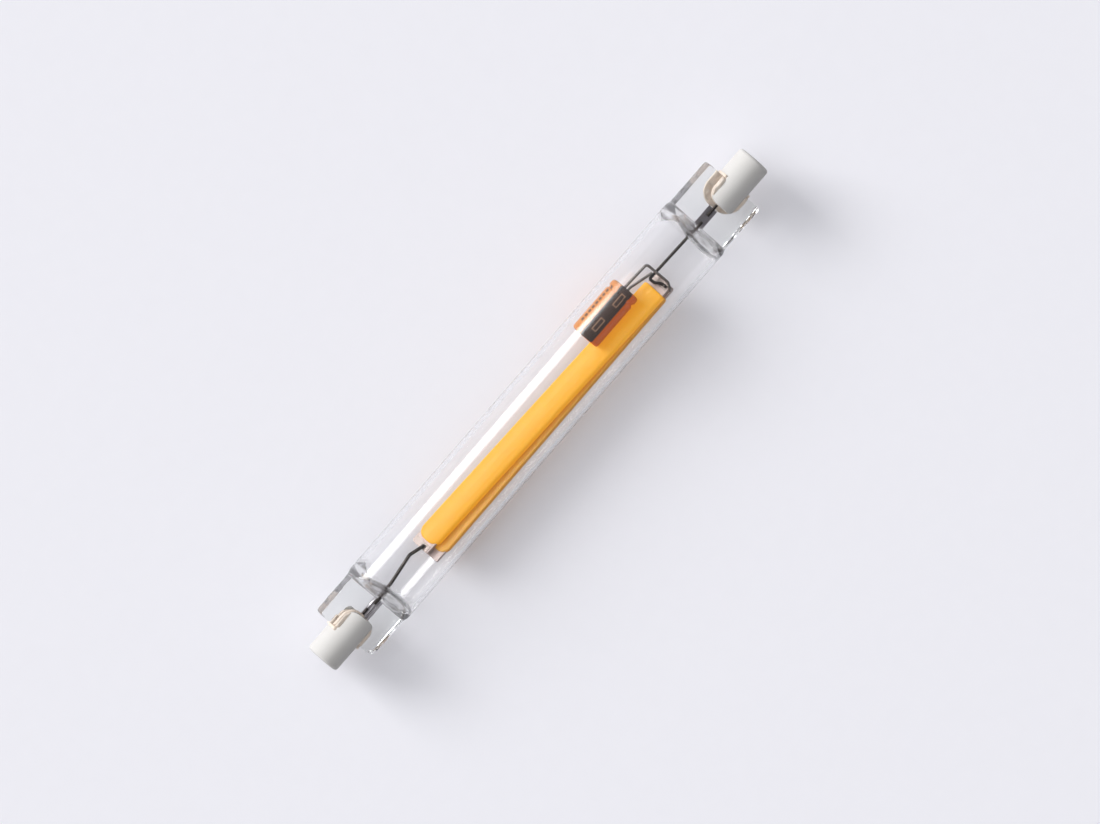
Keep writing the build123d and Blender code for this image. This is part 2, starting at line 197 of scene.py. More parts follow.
phosphor_scatter = (1.0, 0.65, 0.2)
phosphor_cloud_mm = 3.0
phosphor_grain_mm = 0.2


def rounded_outline(corners, count):
    """Points evenly spread along a polygon whose corners, (x, y, radius), are rounded off."""
    path = []
    for i, (x, y, radius) in enumerate(corners):
        here = Vector((x, y))
        before = (Vector(corners[i - 1][:2]) - here).normalized()
        after = (Vector(corners[(i + 1) % len(corners)][:2]) - here).normalized()
        half_angle = before.angle(after) / 2
        reach = radius / tan(half_angle)
        centre = here + (before + after).normalized() * radius / sin(half_angle)
        first = here + before * reach - centre
        last = here + after * reach - centre
        path += [centre + first.slerp(last, step / 8) * radius for step in range(9)]
    path = np.array(path + path[:1])
    along = np.concatenate([[0], np.cumsum(np.linalg.norm(np.diff(path, axis=0), axis=1))])
    spots = np.linspace(0, along[-1], count, endpoint=False)
    return np.stack([np.interp(spots, along, path[:, k]) for k in (0, 1)], axis=1)


def loft_faces(ring_count, around, first=0, inward=False):
    """Faces of a closed skin through rings of points, with a face over each end."""
    faces = [list(range(first + around - 1, first - 1, -1))]
    for ring in range(ring_count - 1):
        for step in range(around):
            here = first + ring * around
            turn = (step + 1) % around
            faces.append([here + step, here + turn, here + around + turn, here + around + step])
    last = first + (ring_count - 1) * around
    faces.append(list(range(last, last + around)))
    return [face[::-1] for face in faces] if inward else faces


def new_piece(name, points_mm, faces, material, slot, *stands_for):
    """A smooth-shaded piece from points in millimetres, in place of the named CAD nodes."""
    mesh = bpy.data.meshes.new(name)
    mesh.from_pydata([Vector(p) * MM for p in points_mm], [], faces)
    mesh.materials.append(material)
    mesh.shade_smooth()
    piece = bpy.data.objects.new(name, mesh)
    bpy.context.scene.collection.objects.link(piece)
    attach(piece, "root")
    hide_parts(*stands_for)


# Silicone full of phosphor: a warm yellow that light soaks into, cloudy where the powder settled, with
# a soft shine and a faint orange peel. A painted glow makes the coats give off light of their own: it
# stands for the phosphor giving the blue in the light back as yellow, and it lifts their shade. The
# back coat is painted browner as painted shade, and its painted glow is weaker. The powder's grain is
# drawn coarser than it is so that it shows.
phosphor, tree = blank_material("silicone_phosphor_moulded")
place = add_node(tree, "TexCoord").outputs["Object"]
cloud = add_node(tree, "TexNoise", {
    "Vector": place, "Scale": per_metre(phosphor_cloud_mm), "Detail": 4.0})
tint = add_node(tree, "Mix", {
    "Factor": cloud, "A": linear(phosphor_deep), "B": linear(phosphor_yellow)}, data_type="RGBA")
out_of_strip = (0, sin(radians(strip_roll)), cos(radians(strip_roll)))
from_top = add_node(tree, "VectorMath", {0: place, 1: out_of_strip}, operation="DOT_PRODUCT")
split_level = (strip_middle[1] * out_of_strip[1] + strip_middle[2] * out_of_strip[2]) - coat_parting
# Painted shade: this mask picks out the back coat, which is painted browner and given less glow
painted_shade_back = add_node(tree, "MapRange", {
    "Value": from_top, "From Min": (split_level + coat_parting_edge) * MM,
    "From Max": (split_level - coat_parting_edge) * MM})
tint = add_node(tree, "Mix", {
    "Factor": painted_shade_back, "A": tint, "B": linear(painted_shade_brown)}, data_type="RGBA")
# Painted glow: the coats give off light of their own, which lifts the shade on them
painted_glow_level = add_node(tree, "MapRange", {"Value": painted_shade_back, "To Min": painted_glow_top, "To Max": painted_glow_under})
grain = add_node(tree, "TexNoise", {
    "Vector": place, "Scale": per_metre(phosphor_grain_mm), "Detail": 3.0})
relief = add_node(tree, "Bump", {"Strength": 0.3, "Distance": 0.02 * MM, "Height": grain})
surface = add_node(tree, "BsdfPrincipled", {
    "Base Color": tint, "Roughness": 0.5, "IOR": 1.41, "Specular IOR Level": 0.35,
    "Subsurface Weight": 0.85, "Subsurface Radius": phosphor_scatter,
    "Subsurface Scale": phosphor_scatter_mm * MM, "Emission Color": linear(painted_glow_colour),
    "Emission Strength": painted_glow_level, "Normal": relief})
add_node(tree, "OutputMaterial", {"Surface": surface})


def phosphor_coat(name, seat, seed):
    """One coat, lofted along its strip: seat is the strip's frame."""
    crown = [radians(a) for a in reversed(coat_crown_angles)]
    corners = [(-coat_half, coat_bottom, coat_foot_round), (coat_half, coat_bottom, coat_foot_round)]
    corners.append((coat_half, coat_edge, coat_edge_round))
    for a in crown:
        sag = coat_crown_radius * (1 - cos(a))
        corners.append((coat_crown_radius * sin(a), coat_crown_top - sag, coat_crown_round))
    corners.append((-coat_half, coat_edge, coat_edge_round))
    section = rounded_outline(corners, coat_around)
    run = coat_stop - coat_start
    steps = np.arange(coat_first_step, run - coat_last_step, coat_step)
    stations = np.concatenate([coat_end_rows, steps, [run - d for d in reversed(coat_end_rows)]])
    points = []
    for station in stations:
        x = coat_start + station
        at_left = station < run / 2
        corner = coat_left_corner if at_left else coat_right_corner
        gone = station if at_left else run - station
        inset = corner - sqrt(max(0, corner ** 2 - max(0, corner - gone) ** 2))
        lip = 1 - coat_lip_thinning * (1 - sqrt(max(0, 1 - max(0, 1 - gone / coat_lip) ** 2)))
        for y, z in section:
            on_bead = max(0, 1 - ((y - bead_across) / bead_half_width) ** 2) if z > 0 else 0
            clump = max(0, noise.noise((x * bead_clumps_along, seed, 5)) + bead_clump_share)
            lump = max(0, noise.noise((x * bead_lumps_along, seed, 0))) * clump
            wave = coat_wave * noise.noise((x * coat_waves_along, y * coat_waves_across, seed))
            height = (z + wave) * lip + on_bead * (bead_height + bead_lump * lump)
            points.append(seat @ Vector((x, y * (1 - inset / coat_half), height)))
    faces = loft_faces(len(stations), coat_around)
    new_piece(name, points, faces, phosphor, "phosphor", name.replace("phosphor", "coat"))


front_seat = Matrix.Translation(strip_middle) @ Matrix.Rotation(radians(-strip_roll), 4, "X")
front_seat = front_seat @ Matrix.Rotation(radians(-strip_yaw), 4, "Z")
back_middle = front_seat @ Vector((0, -back_strip_shift, -back_strip_drop))
back_seat = Matrix.Translation(back_middle) @ Matrix.Rotation(radians(180 - strip_roll), 4, "X")
phosphor_coat("front_phosphor", front_seat, seed=1.7)
phosphor_coat("back_phosphor", back_seat, seed=8.3)


# Solder between the two plates: a tin joint near each end, which holds the strips back to back.
painted_highlight_solder = "#C6C5C2"
solder_dull = "#9A9895"
solder_ripple_mm = 0.5

# Tin solder: a soft grey metal, frozen in small ripples, with a painted highlight that makes their tops
# brighter
solder, tree = blank_material("tin_solder_frozen")
place = add_node(tree, "TexCoord").outputs["Object"]
ripple = add_node(tree, "TexNoise", {
    "Vector": place, "Scale": per_metre(solder_ripple_mm), "Detail": 3.0})
# Painted highlight: the ripples' tops are painted brighter
tint = add_node(tree, "Mix", {
    "Factor": ripple, "A": linear(solder_dull), "B": linear(painted_highlight_solder)}, data_type="RGBA")
relief = add_node(tree, "Bump", {"Strength": 0.6, "Distance": 0.05 * MM, "Height": ripple})
surface = add_node(tree, "BsdfPrincipled", {
    "Base Color": tint, "Metallic": 1.0, "Roughness": 0.55, "Normal": relief})
add_node(tree, "OutputMaterial", {"Surface": surface})
finish_nodes(solder, "strip_joint_left", "strip_joint_right")


# Capacitor can: a drawn aluminium cup with a crimp near its mouth, all but covered by its sleeve.
can_grey = "#D3D4D6"
can_dull = "#B4B6B9"
can_draw_line_mm = 0.15
can_draw_stretch = 0.03

# Drawn aluminium: a bright soft grey with fine lines along the can from the drawing die, drawn
# coarser here than they are so that they show
aluminium, tree = blank_material("aluminium_drawn_can")
place = add_node(tree, "TexCoord").outputs["Object"]
stretch = add_node(tree, "Mapping", {"Vector": place, "Scale": (can_draw_stretch, 1.0, 1.0)})
lines = add_node(tree, "TexNoise", {
    "Vector": stretch, "Scale": per_metre(can_draw_line_mm), "Detail": 3.0})
tint = add_node(tree, "Mix", {
    "Factor": lines, "A": linear(can_dull), "B": linear(can_grey)}, data_type="RGBA")
relief = add_node(tree, "Bump", {"Strength": 0.3, "Distance": 0.01 * MM, "Height": lines})
surface = add_node(tree, "BsdfPrincipled", {
    "Base Color": tint, "Metallic": 1.0, "Roughness": 0.32, "Normal": relief})
add_node(tree, "OutputMaterial", {"Surface": surface})
finish_nodes(aluminium, "capacitor_can")


# Bung: black rubber, moulded, crimped into the can's mouth with the two wires through it.
rubber_black = "#232120"
rubber_bloom = "#3B3836"
rubber_bloom_mm = 0.6
rubber_grain_mm = 0.12

# Moulded rubber: matt black with a pale bloom in patches and a fine grain, drawn coarser than it is
rubber, tree = blank_material("rubber_moulded_black")
place = add_node(tree, "TexCoord").outputs["Object"]
bloom = add_node(tree, "TexNoise", {
    "Vector": place, "Scale": per_metre(rubber_bloom_mm), "Detail": 4.0})
tint = add_node(tree, "Mix", {
    "Factor": bloom, "A": linear(rubber_black), "B": linear(rubber_bloom)}, data_type="RGBA")
grain = add_node(tree, "TexNoise", {"Vector": place, "Scale": per_metre(rubber_grain_mm)})
relief = add_node(tree, "Bump", {"Strength": 0.4, "Distance": 0.02 * MM, "Height": grain})
surface = add_node(tree, "BsdfPrincipled", {
    "Base Color": tint, "Roughness": 0.72, "IOR": 1.52, "Normal": relief})
add_node(tree, "OutputMaterial", {"Surface": surface})
finish_nodes(rubber, "capacitor_bung")


# Capacitor sleeve: thin orange plastic film shrunk over the can, printed with a dark brown band, with a
# painted dark reflection as a darker line along one edge. The film below the band is painted a brighter
# orange as painted bounce light from the strip. Two plain oblong outlines are left open in the band,
# and a row of plain dashes runs beside it. Turns are in degrees from the top, towards the strip.
sleeve_axis_y = 2.169
sleeve_axis_z = 1.202
sleeve_radius = 2.85
sleeve_orange = "#CB7A34"
sleeve_pale = "#DB9450"
# Painted bounce light: a brighter orange for the film below the band, facing the strip
painted_bounce_orange = "#F6700C"
band_brown = "#46332A"
# Painted dark reflection: a darker line along the band's edge away from the strip
painted_dark_reflection = "#1B110C"
mark_brown = "#AC8468"
band_from = -20.0
painted_reflection_width = 0.5
band_to = 33.7
mark_middle = 21.1
mark_spread = 2.8
mark_half_length = 1.25
mark_arc = 0.43
mark_half_height = 0.40
mark_stroke = 0.15
dash_turn = -53.0
dash_half_height = 0.3
dash_pitch = 0.95
dash_share = 0.62
dash_edge = 0.05
dash_row_half = 4.4
dash_strength = 0.9
print_edge = 0.05
film_streak_mm = 0.8
film_stretch = 0.15
film_wrinkle_mm = 0.9

# Printed PVC film: a glossy orange skin over metal, streaky along the can, with small wrinkles
film, tree = blank_material("pvc_film_shrunk_printed")
place = add_node(tree, "TexCoord").outputs["Object"]
from_axis = add_node(tree, "VectorMath", {
    0: place, 1: (mark_middle * MM, sleeve_axis_y * MM, sleeve_axis_z * MM)}, operation="SUBTRACT")
split = add_node(tree, "SeparateXYZ", {"Vector": from_axis})
sideways = add_node(tree, "Math", {0: split.outputs["Y"], 1: -1.0}, operation="MULTIPLY")
turn = add_node(tree, "Math", {0: sideways, 1: split.outputs["Z"]}, operation="ARCTAN2")
arc = add_node(tree, "Math", {0: turn, 1: sleeve_radius}, operation="MULTIPLY")
band_centre = radians((band_from + band_to) / 2) * sleeve_radius
band_half = radians((band_to - band_from) / 2) * sleeve_radius
off_band = add_node(tree, "Math", {0: arc, 1: band_centre}, operation="SUBTRACT")
off_band = add_node(tree, "Math", {0: off_band}, operation="ABSOLUTE")
in_band = add_node(tree, "MapRange", {
    "Value": off_band, "From Min": band_half + print_edge, "From Max": band_half - print_edge})
along = add_node(tree, "Math", {0: split.outputs["X"]}, operation="ABSOLUTE")
along = add_node(tree, "Math", {0: along, 1: mark_spread * MM}, operation="SUBTRACT")
along = add_node(tree, "Math", {0: along}, operation="ABSOLUTE")
along = add_node(tree, "Math", {
    0: along, 1: 1 / MM, 2: -mark_half_length}, operation="MULTIPLY_ADD")
across = add_node(tree, "Math", {0: arc, 1: mark_arc}, operation="SUBTRACT")
across = add_node(tree, "Math", {0: across}, operation="ABSOLUTE")
across = add_node(tree, "Math", {0: across, 1: mark_half_height}, operation="SUBTRACT")
oblong = add_node(tree, "Math", {0: along, 1: across}, operation="MAXIMUM")
oblong = add_node(tree, "Math", {0: oblong}, operation="ABSOLUTE")
in_mark = add_node(tree, "MapRange", {
    "Value": oblong, "From Min": mark_stroke / 2 + print_edge,
    "From Max": mark_stroke / 2 - print_edge})
stretch = add_node(tree, "Mapping", {"Vector": place, "Scale": (film_stretch, 1.0, 1.0)})
streak = add_node(tree, "TexNoise", {
    "Vector": stretch, "Scale": per_metre(film_streak_mm), "Detail": 3.0})
tint = add_node(tree, "Mix", {
    "Factor": streak, "A": linear(sleeve_orange), "B": linear(sleeve_pale)}, data_type="RGBA")
# Painted bounce light: the film from the band's middle towards the strip is painted brighter orange
painted_bounce_side = add_node(tree, "MapRange", {
    "Value": arc, "From Min": band_centre, "From Max": band_centre + print_edge})
tint = add_node(tree, "Mix", {
    "Factor": painted_bounce_side, "A": tint, "B": linear(painted_bounce_orange)}, data_type="RGBA")
dash_row = add_node(tree, "Math", {
    0: arc, 1: radians(dash_turn) * sleeve_radius}, operation="SUBTRACT")
dash_row = add_node(tree, "Math", {0: dash_row}, operation="ABSOLUTE")
dash_row = add_node(tree, "MapRange", {
    "Value": dash_row, "From Min": dash_half_height + print_edge,
    "From Max": dash_half_height - print_edge})
dash = add_node(tree, "Math", {
    0: split.outputs["X"], 1: 1 / (dash_pitch * MM)}, operation="MULTIPLY")
dash = add_node(tree, "Math", {0: dash, 1: 0.5}, operation="PINGPONG")
dash = add_node(tree, "MapRange", {
    "Value": dash, "From Min": dash_share / 2 + dash_edge, "From Max": dash_share / 2 - dash_edge})
dash_span = add_node(tree, "Math", {0: split.outputs["X"]}, operation="ABSOLUTE")
dash_span = add_node(tree, "Math", {0: dash_span, 1: dash_row_half * MM}, operation="LESS_THAN")
dash = add_node(tree, "Math", {0: dash, 1: dash_row}, operation="MULTIPLY")
dash = add_node(tree, "Math", {0: dash, 1: dash_span}, operation="MULTIPLY")
dash = add_node(tree, "Math", {0: dash, 1: dash_strength}, operation="MULTIPLY")
tint = add_node(tree, "Mix", {"Factor": dash, "A": tint, "B": linear(band_brown)}, data_type="RGBA")
tint = add_node(tree, "Mix", {
    "Factor": in_band, "A": tint, "B": linear(band_brown)}, data_type="RGBA")
# Painted dark reflection: a darker line along the band's edge away from the strip
painted_reflection_start = band_centre - band_half + painted_reflection_width
in_painted_reflection = add_node(tree, "MapRange", {
    "Value": arc, "From Min": painted_reflection_start + print_edge, "From Max": painted_reflection_start - print_edge})
in_painted_reflection = add_node(tree, "Math", {0: in_painted_reflection, 1: in_band}, operation="MULTIPLY")
tint = add_node(tree, "Mix", {
    "Factor": in_painted_reflection, "A": tint, "B": linear(painted_dark_reflection)}, data_type="RGBA")
tint = add_node(tree, "Mix", {
    "Factor": in_mark, "A": tint, "B": linear(mark_brown)}, data_type="RGBA")
wrinkle = add_node(tree, "TexNoise", {
    "Vector": place, "Scale": per_metre(film_wrinkle_mm), "Detail": 2.0})
relief = add_node(tree, "Bump", {"Strength": 0.12, "Distance": 0.05 * MM, "Height": wrinkle})
surface = add_node(tree, "BsdfPrincipled", {
    "Base Color": tint, "Roughness": 0.08, "IOR": 1.53, "Specular IOR Level": 0.15,
    "Normal": relief})
add_node(tree, "OutputMaterial", {"Surface": surface})
finish_nodes(film, "capacitor_sleeve")


# Capacitor wires: steel wire with a thin coat of tin, drawn, cut and bent by hand to the pads.
lead_grey = "#8D8985"
lead_dark = "#5C5753"
lead_line_mm = 0.12
lead_dull_mm = 1.0

# Drawn tinned wire: a soft mid grey metal with a fine tooth, drawn coarser than it is so that it
# shows, and dull patches where it was bent
tinned, tree = blank_material("tinned_steel_drawn_wire")
place = add_node(tree, "TexCoord").outputs["Object"]
dull = add_node(tree, "TexNoise", {
    "Vector": place, "Scale": per_metre(lead_dull_mm), "Detail": 4.0})
tint = add_node(tree, "Mix", {
    "Factor": dull, "A": linear(lead_dark), "B": linear(lead_grey)}, data_type="RGBA")
lines = add_node(tree, "TexNoise", {
    "Vector": place, "Scale": per_metre(lead_line_mm), "Detail": 2.0})
relief = add_node(tree, "Bump", {"Strength": 0.3, "Distance": 0.02 * MM, "Height": lines})
surface = add_node(tree, "BsdfPrincipled", {
    "Base Color": tint, "Metallic": 1.0, "Roughness": 0.38, "Normal": relief})
add_node(tree, "OutputMaterial", {"Surface": surface})
finish_nodes(tinned, "capacitor_lead_long", "capacitor_lead_short")


# Inner and outer wires: nickel-iron wire, drawn, cut and bent by hand, and browned by the heat when it
# was sealed into the glass. The scale that this left makes the inner wires thicker, the left one most.
wire_grey = "#4A4441"
wire_dark = "#211D1C"
wire_line_mm = 0.12
wire_stretch = 0.06
wire_tarnish_mm = 1.5
wire_scale = {"inner_lead_left": 0.07, "inner_lead_right": 0.03}

# Drawn nickel-iron: a dull dark metal, with lines along the wire, drawn coarser than they are so that
# they show, and patches of brown tarnish
iron, tree = blank_material("nickel_iron_drawn_wire")
place = add_node(tree, "TexCoord").outputs["Object"]
tarnish = add_node(tree, "TexNoise", {
    "Vector": place, "Scale": per_metre(wire_tarnish_mm), "Detail": 4.0})
tint = add_node(tree, "Mix", {
    "Factor": tarnish, "A": linear(wire_dark), "B": linear(wire_grey)}, data_type="RGBA")
stretch = add_node(tree, "Mapping", {"Vector": place, "Scale": (wire_stretch, 1.0, 1.0)})
lines = add_node(tree, "TexNoise", {
    "Vector": stretch, "Scale": per_metre(wire_line_mm), "Detail": 2.0})
relief = add_node(tree, "Bump", {"Strength": 0.4, "Distance": 0.02 * MM, "Height": lines})
rough = add_node(tree, "MapRange", {"Value": tarnish, "To Min": 0.55, "To Max": 0.35})
surface = add_node(tree, "BsdfPrincipled", {
    "Base Color": tint, "Metallic": 1.0, "Roughness": rough, "Normal": relief})
add_node(tree, "OutputMaterial", {"Surface": surface})
finish_nodes(iron, "inner_lead_left", "inner_lead_right", "outer_lead_left", "outer_lead_right")
for name, thickness in wire_scale.items():
    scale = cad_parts[name].modifiers.new("oxide_scale", "DISPLACE")
    scale.mid_level = 0.0
    scale.strength = thickness * MM


# Foils: molybdenum, rolled so thin that the glass can grip it, with a wire spot-welded to each end. The
# left foil was creased lengthwise in the press, and painted highlights run along its folds. The right
# one stayed flat.
press_tilt = 27.0
seal_shift = -0.5
foil_start = 43.55
foil_length = 4.3
foil_width = 2.1
foil_drop = 0.36
foil_skin = 0.04
foil_steps = 24
foil_ribs = 56
dent_share = 0.5
dents_along = 0.8
dents_across = 2.0
dent_seed = 3.1
moly_grey = "#C6C0C5"
moly_dark = "#8C878D"
# Painted highlight: the colour of the streaks on the left foil's folds, and their pitch, phase and
# crest
painted_highlight_moly = "#E6E2E6"
painted_highlight_pitch = 0.78
painted_highlight_phase = 0.6
painted_highlight_crest = 0.3
moly_roll_mm = 0.2
moly_stretch = 0.05

# Rolled molybdenum: a pale grey metal with fine rolling lines, drawn coarser than they are so that
# they show, and painted highlight streaks on the folds of the left foil
moly, tree = blank_material("molybdenum_rolled_foil")
place = add_node(tree, "TexCoord").outputs["Object"]
stretch = add_node(tree, "Mapping", {"Vector": place, "Scale": (moly_stretch, 1.0, 1.0)})
lines = add_node(tree, "TexNoise", {
    "Vector": stretch, "Scale": per_metre(moly_roll_mm), "Detail": 3.0})
tint = add_node(tree, "Mix", {
    "Factor": lines, "A": linear(moly_dark), "B": linear(moly_grey)}, data_type="RGBA")
press_place = add_node(tree, "VectorMath", {
    0: place, 1: (0, cos(radians(press_tilt)), sin(radians(press_tilt)))}, operation="DOT_PRODUCT")
# Painted highlight: brighter streaks along the left foil's folds
painted_fold_highlight = add_node(tree, "Math", {
    0: press_place, 1: 2 * pi / (painted_highlight_pitch * MM),
    2: painted_highlight_phase}, operation="MULTIPLY_ADD")
painted_fold_highlight = add_node(tree, "Math", {0: painted_fold_highlight}, operation="SINE")
painted_fold_highlight = add_node(tree, "MapRange", {"Value": painted_fold_highlight, "From Min": painted_highlight_crest, "From Max": 1.0})
apart = add_node(tree, "SeparateXYZ", {"Vector": place})
at_left = add_node(tree, "Math", {0: apart.outputs["X"], 1: 0.0}, operation="LESS_THAN")
painted_fold_highlight = add_node(tree, "Math", {0: painted_fold_highlight, 1: at_left}, operation="MULTIPLY")
tint = add_node(tree, "Mix", {
    "Factor": painted_fold_highlight, "A": tint, "B": linear(painted_highlight_moly)}, data_type="RGBA")
relief = add_node(tree, "Bump", {"Strength": 0.4, "Distance": 0.02 * MM, "Height": lines})
surface = add_node(tree, "BsdfPrincipled", {
    "Base Color": tint, "Metallic": 1.0, "Roughness": 0.4, "Normal": relief})
add_node(tree, "OutputMaterial", {"Surface": surface})

across_press = Vector((0, cos(radians(press_tilt)), sin(radians(press_tilt))))
out_of_press = Vector((0, -sin(radians(press_tilt)), cos(radians(press_tilt))))
along_lamp = Vector((1, 0, 0))


def sealed_foil(name, end, crease, crease_pitch, off_axis):
    """Thin foil in one press, creased along its length and set a little off the axis."""
    points = []
    for step in range(foil_steps + 1):
        x = seal_shift + end * (foil_start + foil_length * step / foil_steps)
        ring = []
        for rib in range(foil_ribs + 1):
            p = foil_width * (rib / foil_ribs - 0.5)
            dent = dent_share + noise.noise((x * dents_along, p * dents_across, end * dent_seed))
            q = crease * dent * cos(2 * pi * p / crease_pitch) - foil_drop
            ring.append((p, q))
        middle = along_lamp * x + across_press * off_axis
        top = [middle + across_press * p + out_of_press * (q + foil_skin) for p, q in ring]
        bottom = [middle + across_press * p + out_of_press * (q - foil_skin) for p, q in reversed(ring)]
        points += top + bottom
    faces = loft_faces(foil_steps + 1, 2 * (foil_ribs + 1), inward=end > 0)
    new_piece(name, points, faces, moly, "molybdenum", name.replace("sealed_", ""))


sealed_foil("sealed_foil_left", -1, crease=0.13, crease_pitch=0.66, off_axis=-0.75)
sealed_foil("sealed_foil_right", 1, crease=0.015, crease_pitch=0.9, off_axis=0.0)


# Envelope: a clear hard-glass tube, its ends softened and pressed flat between jaws round the foils.
# The tube stays wavy along its length, and the glass runs up each wire in a small cusp. The web is the
# flat of the press. Waves and grooves are given as so many in a millimetre.
tube_radius = 6.798
bore_radius = 6.05
press_half = 1.25
press_end = 52.8
press_start = 43.55
tube_end = 41.15
shoulder_crest = 6.85
shoulder_blend = 0.5
foot_blend = 0.22
corner_blend = 0.1
shoulder_soften = 0.25
shoulder_limit = 8.0
shoulder_middle = 42.35
shoulder_reach = 1.8
web_start = 43.75
web_ramp = 0.8
web_full_width = 9.0
flat_edge = 5.9
flat_ramp = 0.6
end_edge = 0.3
end_corner = 0.75
slumped_corner = 1.9
glass_around = 240
edge_crowding = 0.75
jaw_wave = 0.02
jaw_waves_along = 0.45
jaw_waves_across = 0.4
jaw_grain = 0.008
jaw_grains = 2.2
edge_ripple = 0.035
edge_ripple_least = 0.7
groove_along = 0.25
groove_through = 2.4
notch_along = 1.4
notch_through = 1.2
notch_share = 0.6
hollow_around = 180
hollow_rings = 48
hollow_tip = 43.27
hollow_slope = 0.429
hollow_round = 1.0
hollow_corner = 3.2
hollow_corner_start = 39.65
hollow_corner_inset = 2.85
cusp_foot = 41.15
left_cusp_offset = -0.5
cusp_radius = 0.42
cusp_slope = 1.93
hollow_blend = 0.25
hollow_unevenness = 0.05
hollow_waves = 0.45
hollow_seed = 4.0
hollow_rim = 0.25
glass_clear = "#FFFFFF"
press_grey = "#F4F6F5"
press_grey_run = 1
pass_square_on = "#FAFAFA"
pass_grazing = "#C8C8C8"
grazing_sharpness = 4.0
shoulder_straight = 0.12
shoulder_straight_from = 1.2
shoulder_straight_full = 0.6
edge_straight = 0.3
edge_straight_from = 5.5
edge_straight_full = 5.9
web_straight_run = 0.5
glass_line_mm = 2.5
glass_wave_mm = 14.0


def soft_least(values, blend):
    """The least of several values, blended smoothly where they are close."""
    return -blend * np.log(sum(np.exp(-np.minimum(v, 60.0) / blend) for v in values))


turns = np.linspace(0, 2 * pi, glass_around, endpoint=False)
outer_angles = turns - edge_crowding / 2 * np.sin(2 * turns)
near_zero = 1e-4
flat_reach = 1 / np.maximum(np.abs(np.sin(outer_angles)), near_zero)
edge_reach = 1 / np.maximum(np.abs(np.cos(outer_angles)), near_zero)
middle_stations = np.arange(0, 39, 2.0)
shoulder_stations = np.arange(39.2, 45.0, 0.1)
web_stations = np.arange(45.2, 52.0, 0.2)
rim_stations = press_end - np.array([0.75, 0.6, 0.47, 0.36, 0.27, 0.2, 0.14, 0.09, 0.05, 0.02, 0.0])
one_end = np.concatenate([middle_stations[1:], shoulder_stations, web_stations, rim_stations])
stations = np.concatenate([-one_end[::-1], [0.0], one_end])
outer_points = []
for x in stations:
    reach = abs(x - seal_shift)
    slope = shoulder_crest + (
        (reach - tube_end) * (press_half - shoulder_crest) / (press_start - tube_end))
    half = soft_least([shoulder_limit, slope], shoulder_blend)
    half = -soft_least([-half, -press_half], foot_blend)
    past_edge = max(0, abs(x) - press_end + end_edge)
    half -= end_edge - sqrt(end_edge ** 2 - past_edge ** 2)
    on_shoulder = max(0, 1 - abs(reach - shoulder_middle) / shoulder_reach)
    on_web = min(1, max(0, (reach - web_start) / web_ramp))
    widths = np.full(glass_around, web_full_width)
    for k, angle in enumerate(outer_angles):
        corner = slumped_corner if x < 0 and cos(angle) < 0 else end_corner
        past_corner = max(0, abs(x) - press_end + corner)
        if past_corner:
            widths[k] = tube_radius - corner + sqrt(corner ** 2 - past_corner ** 2)
    radii = soft_least(
        [np.full(glass_around, tube_radius), half * flat_reach, widths * edge_reach],
        corner_blend + shoulder_soften * on_shoulder)
    for angle, radius in zip(outer_angles, radii):
        p = radius * cos(angle)
        q = radius * sin(angle)
        if on_web:
            on_flat = min(1, max(0, (flat_edge - abs(p)) / flat_ramp))
            wave = jaw_wave * noise.noise((x * jaw_waves_along, p * jaw_waves_across, q + 7))
            wave += jaw_grain * noise.noise((x * jaw_grains, p * jaw_grains, q))
            q += on_web * on_flat * wave
            side = np.sign(p)
            groove = noise.noise((x * groove_along, q * groove_through, 3 + side))
            groove += notch_share * noise.noise((x * notch_along, q * notch_through, side))
            p -= on_web * (1 - on_flat) * side * edge_ripple * (groove + edge_ripple_least)
        outer_points.append(along_lamp * x + across_press * p + out_of_press * q)

hollow_angles = np.linspace(0, 2 * pi, hollow_around, endpoint=False)


def hollow_depth(end, p, q):
    """How far the hollow reaches along the lamp at one end: a wedge, with a cusp on the wire."""
    wedge = hollow_tip - hollow_slope * sqrt(q ** 2 + hollow_round ** 2)
    past = max(0, abs(p) - hollow_corner_inset)
    side = hollow_corner_start + sqrt(max(0, hollow_corner ** 2 - past ** 2))
    from_wire = sqrt((p - (left_cusp_offset if end < 0 else 0)) ** 2 + q ** 2)
    cusp = cusp_foot + max(0, from_wire - cusp_radius) * cusp_slope
    uneven = hollow_unevenness * noise.noise((p * hollow_waves, q * hollow_waves, hollow_seed * end))
    inner = max(0, 1 - ((p ** 2 + q ** 2) / bore_radius ** 2) ** 2)
    at_rim = min(1, max(0, 1 - (bore_radius - sqrt(p ** 2 + q ** 2)) / hollow_rim))
    turned = hollow_rim * (1 - sqrt(1 - at_rim ** 2))
    return float(soft_least([wedge, side, cusp], hollow_blend)) + uneven * inner - turned


hollow_points = []
spread = [sin(pi / 2 * k / hollow_rings) for k in range(1, hollow_rings + 1)]
hollow_end = [(s, 0.0) for s in spread] + [(1.0, inward) for inward in (0.05, 0.12, 0.25, 0.6, 1.5)]
hollow_stations = [(-1, s, inward) for s, inward in hollow_end]
hollow_stations += [(0, 1.0, x) for x in (-30, -15, 0, 15, 30)]
hollow_stations += [(1, s, inward) for s, inward in reversed(hollow_end)]
for end, share, where in hollow_stations:
    for angle in hollow_angles:
        p = bore_radius * share * cos(angle)
        q = bore_radius * share * sin(angle)
        x = seal_shift + end * (hollow_depth(end, p, q) - where) if end else where
        hollow_points.append(along_lamp * x + across_press * p + out_of_press * q)

